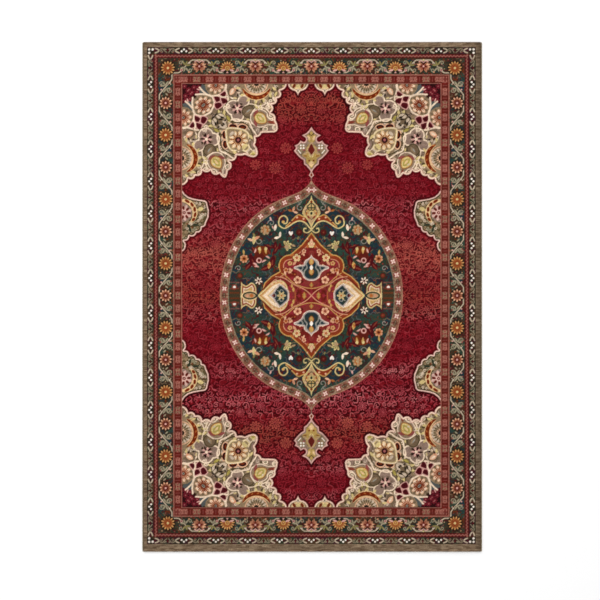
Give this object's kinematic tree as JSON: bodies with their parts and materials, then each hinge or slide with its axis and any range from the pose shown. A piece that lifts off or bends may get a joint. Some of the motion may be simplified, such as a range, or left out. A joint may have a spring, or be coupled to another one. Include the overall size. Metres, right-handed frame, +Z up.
{
  "type": "area rug",
  "caption": "Rectangular woven area rug with a short cut pile: patterned border bands, a red field, scalloped corner motifs, pendants and an oval medallion.",
  "frame": {"origin": "centre of the rug's underside, on the floor", "axes": "+X across the rug, +Y along it towards the narrower plain end, +Z up through the pile"},
  "size_m": [2, 3, 0.0115],
  "materials": {
    "ground_yarn": "woven jute and cotton ground, unbleached",
    "latex": "thin rolled-on latex anchoring coat",
    "hem_tape": "woven hem tape, taupe",
    "edge_cord": "twisted cotton cord",
    "serging_yarn": "overcast edge yarn, olive taupe",
    "plain_pile": "short cut pile, taupe",
    "outer_guard_pile": "short cut pile, green-black ground with an ivory vine",
    "red_stripe_pile": "short cut pile, red with a rose zigzag",
    "main_border_pile": "short cut pile, dark green ground with vines and rosettes",
    "inner_guard_pile": "short cut pile, brick red with rose blocks",
    "field_pile": "short cut pile, crimson on crimson scrolls",
    "corner_pile": "short cut pile, khaki and ivory flowers with a cream outline",
    "pendant_pile": "short cut pile, gold on khaki",
    "ring_pile": "short cut pile, taupe-brown with rose beads",
    "medallion_ground_pile": "short cut pile, blue-green ground with flowers",
    "heart_pile": "short cut pile, rust red with gold lines",
    "cartouche_pile": "short cut pile, slate blue and grey",
    "gold_pile": "short cut pile, gold"
  },
  "bodies": {
    "root": {"cartouche_back": "cartouche_pile", "cartouche_front": "cartouche_pile", "cartouche_left": "cartouche_pile", "cartouche_right": "cartouche_pile", "crown_left": "gold_pile", "crown_right": "gold_pile", "edge_cord_left": "edge_cord", "edge_cord_right": "edge_cord", "edge_serging_left": "serging_yarn", "edge_serging_right": "serging_yarn", "end_palmette_back_left": "corner_pile", "end_palmette_back_right": "corner_pile", "end_palmette_front_left": "corner_pile", "end_palmette_front_right": "corner_pile", "field_pile": "field_pile", "flame_back": "gold_pile", "flame_front": "gold_pile", "ground_weave": "ground_yarn", "half_medallion_back_left": "corner_pile", "half_medallion_back_right": "corner_pile", "half_medallion_front_left": "corner_pile", "half_medallion_front_right": "corner_pile", "hem_tape_back": "hem_tape", "hem_tape_front": "hem_tape", "inner_guard_back": "inner_guard_pile", "inner_guard_front": "inner_guard_pile", "inner_guard_left": "inner_guard_pile", "inner_guard_right": "inner_guard_pile", "latex_coat": "latex", "main_border_back": "main_border_pile", "main_border_front": "main_border_pile", "main_border_left": "main_border_pile", "main_border_right": "main_border_pile", "medallion_ground": "medallion_ground_pile", "medallion_heart": "heart_pile", "medallion_ring": "ring_pile", "outer_guard_back": "outer_guard_pile", "outer_guard_front": "outer_guard_pile", "outer_guard_left": "outer_guard_pile", "outer_guard_right": "outer_guard_pile", "pendant_back": "pendant_pile", "pendant_front": "pendant_pile", "plain_band_back": "plain_pile", "plain_band_front": "plain_pile", "plain_band_left": "plain_pile", "plain_band_right": "plain_pile", "red_stripe_back": "red_stripe_pile", "red_stripe_front": "red_stripe_pile", "red_stripe_left": "red_stripe_pile", "red_stripe_right": "red_stripe_pile", "spandrel_back_left": "corner_pile", "spandrel_back_right": "corner_pile", "spandrel_front_left": "corner_pile", "spandrel_front_right": "corner_pile"}
  },
  "joints": []
}
